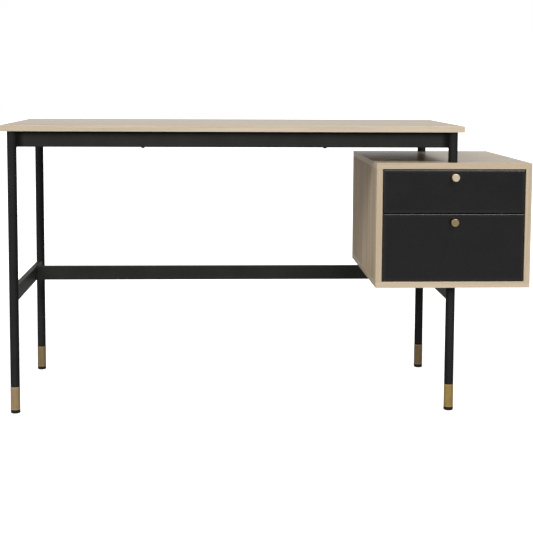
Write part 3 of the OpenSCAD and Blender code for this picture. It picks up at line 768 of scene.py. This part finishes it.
def weld_bead(shape, path):
    """A slightly rippled bead along a closed path."""
    rings = []
    for i, here in enumerate(path):
        ahead = (path[(i + 1) % len(path)] - path[i - 1]).normalized()
        side = ahead.orthogonal().normalized()
        other = ahead.cross(side)
        thick = WELD_RADIUS * (1 + WELD_RIPPLE * math.sin(WELD_RIPPLE_TURN * i))
        ring = []
        for k in range(WELD_SIDES):
            turn = 2 * math.pi * k / WELD_SIDES
            offset = thick * (math.cos(turn) * side + math.sin(turn) * other)
            ring.append(shape.verts.new(here + offset))
        rings.append(ring)
    for ring, after in zip(rings, rings[1:] + rings[:1]):
        nearest = min(range(WELD_SIDES), key=lambda k: (after[k].co - ring[0].co).length)
        for k in range(WELD_SIDES):
            following = (k + 1) % WELD_SIDES
            c = after[(following + nearest) % WELD_SIDES]
            d = after[(k + nearest) % WELD_SIDES]
            shape.faces.new((ring[k], ring[following], c, d))


def weld_rail(shape, rail, leg=None, end=0):
    """The bead round a rail's end, on a round leg or else on the flat side of another rail."""
    low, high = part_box(rail)
    run = longest_axis((low, high))
    across = 1 - run
    middle = (low + high) / 2
    if leg:
        leg_low, leg_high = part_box(leg)
        post = (leg_low + leg_high) / 2
        radius = (leg_high.x - leg_low.x) / 2
        towards = 1 if middle[run] > post[run] else -1
    path = []
    for sideways, up in section_outline(high[across] - low[across], high.z - low.z):
        place = middle.copy()
        place[across] += sideways
        place.z += up
        if leg:
            place[run] = post[run] + towards * math.sqrt(radius**2 - sideways**2)
        else:
            place[run] = (low, high)[end][run]
        path.append(place)
    weld_bead(shape, path)


def frame_welds():
    """The weld beads of the steel frame."""
    shape = bmesh.new()
    for row in ("front", "rear"):
        for leg in (f"left_{row}_leg", f"right_{row}_upper_leg"):
            weld_rail(shape, f"{row}_rail", leg)
        weld_rail(shape, "left_top_rail", f"left_{row}_leg")
        weld_rail(shape, "right_top_rail", f"right_{row}_upper_leg")
        weld_rail(shape, "left_side_stretcher", f"left_{row}_leg")
        weld_rail(shape, "right_side_stretcher", f"right_{row}_lower_leg")
    for end in (0, 1):
        weld_rail(shape, "long_stretcher", end=end)
    bmesh.ops.recalc_face_normals(shape, faces=shape.faces)
    finished_piece("frame_welds", shape, [LEG_BLACK], "desk")


# ---------------------------------------------------------------- studio


def make_floor():
    """A wide, pale, plain floor."""
    mesh = bpy.data.meshes.new("studio_floor")
    shape = bmesh.new()
    bmesh.ops.create_grid(shape, x_segments=1, y_segments=1, size=FLOOR_SIZE / 2)
    shape.to_mesh(mesh)
    shape.free()
    material, tree, shader = new_material("floor_paint")
    seen = add(tree, "LightPath").outputs["Is Camera Ray"]
    paint = tinted(tree, FLOOR_BOUNCE, seen, FLOOR_SEEN)
    tree.links.new(paint, shader.inputs["Base Color"])
    shader.inputs["Emission Color"].default_value = (1, 1, 1, 1)
    glowing = maths(tree, "MULTIPLY", seen, FLOOR_GLOW)
    tree.links.new(glowing, shader.inputs["Emission Strength"])
    shader.inputs["Roughness"].default_value = FLOOR_ROUGHNESS
    shader.inputs["Specular IOR Level"].default_value = 0.0
    mesh.materials.append(material)
    floor = bpy.data.objects.new("studio_floor", mesh)
    bpy.context.scene.collection.objects.link(floor)


def add_sun(name, azimuth, elevation, strength, width):
    """A soft distant light, placed by its azimuth and elevation."""
    light = bpy.data.lights.new(name, "SUN")
    light.energy = strength
    light.angle = math.radians(width)
    lamp = bpy.data.objects.new(name, light)
    turn, rise = math.radians(azimuth), math.radians(elevation)
    level = math.cos(rise)
    source = Vector((math.sin(turn) * level, -math.cos(turn) * level, math.sin(rise)))
    lamp.rotation_euler = source.to_track_quat("Z", "Y").to_euler()
    bpy.context.scene.collection.objects.link(lamp)


def glow(tree, towards, wide, narrow, strength):
    """Light from the surround about one direction, between a wide and a narrow angle from it."""
    place = add(tree, "TexCoord").outputs["Generated"]
    aim = Vector(towards).normalized()
    near = add(tree, "VectorMath", {0: place, 1: aim}, operation="DOT_PRODUCT").outputs["Value"]
    edge, full = math.cos(math.radians(wide)), math.cos(math.radians(narrow))
    return spread(tree, near, edge, full, 0, strength)


def make_world():
    """A white surround: seen as white, it lights softly, mostly from behind and the left."""
    world = bpy.data.worlds.new("studio_white")
    bpy.context.scene.world = world
    world.use_nodes = True
    tree = world.node_tree
    background = tree.nodes["Background"]
    background.inputs["Color"].default_value = (1, 1, 1, 1)
    behind, left, right = (glow(tree, *g) for g in (GLOW_BEHIND, GLOW_LEFT, GLOW_RIGHT))
    rest = maths(tree, "ADD", right, SURROUND_STRENGTH)
    light = maths(tree, "ADD", maths(tree, "ADD", behind, left), rest)
    seen = add(tree, "LightPath").outputs["Is Camera Ray"]
    tree.links.new(maths(tree, "MAXIMUM", light, seen), background.inputs["Strength"])


def make_camera():
    """The camera, in front of the desk and a little above its top."""
    data = bpy.data.cameras.new("camera")
    data.lens = CAMERA_LENS
    data.sensor_width = CAMERA_SENSOR
    data.shift_y = CAMERA_SHIFT_Y
    data.clip_start, data.clip_end = CAMERA_CLIP
    camera = bpy.data.objects.new("camera", data)
    turn = Matrix.Rotation(-CAMERA_YAW, 4, "Z")
    turn @= Matrix.Rotation(math.pi / 2 - CAMERA_PITCH, 4, "X")
    turn @= Matrix.Rotation(CAMERA_ROLL, 4, "Z")
    camera.matrix_world = Matrix.Translation(CAMERA_PLACE) @ turn
    bpy.context.scene.collection.objects.link(camera)
    bpy.context.scene.camera = camera


make_camera()
make_floor()
make_world()
for name, settings in SUNS.items():
    add_sun(name, *settings)
bpy.context.scene.view_settings.view_transform = "Standard"

dress_nodes()
desktop_edge_bands()
cabinet_edge_bands()
for drawer in DRAWERS:
    rounded_copy(f"{drawer}_drawer_front", f"{drawer}_front_board", FRONT_ROUND)
for corner in FERRULE_TONES:
    rounded_copy(f"{corner}_ferrule", f"{corner}_rounded_ferrule", FERRULE_ROUND)
frame_welds()
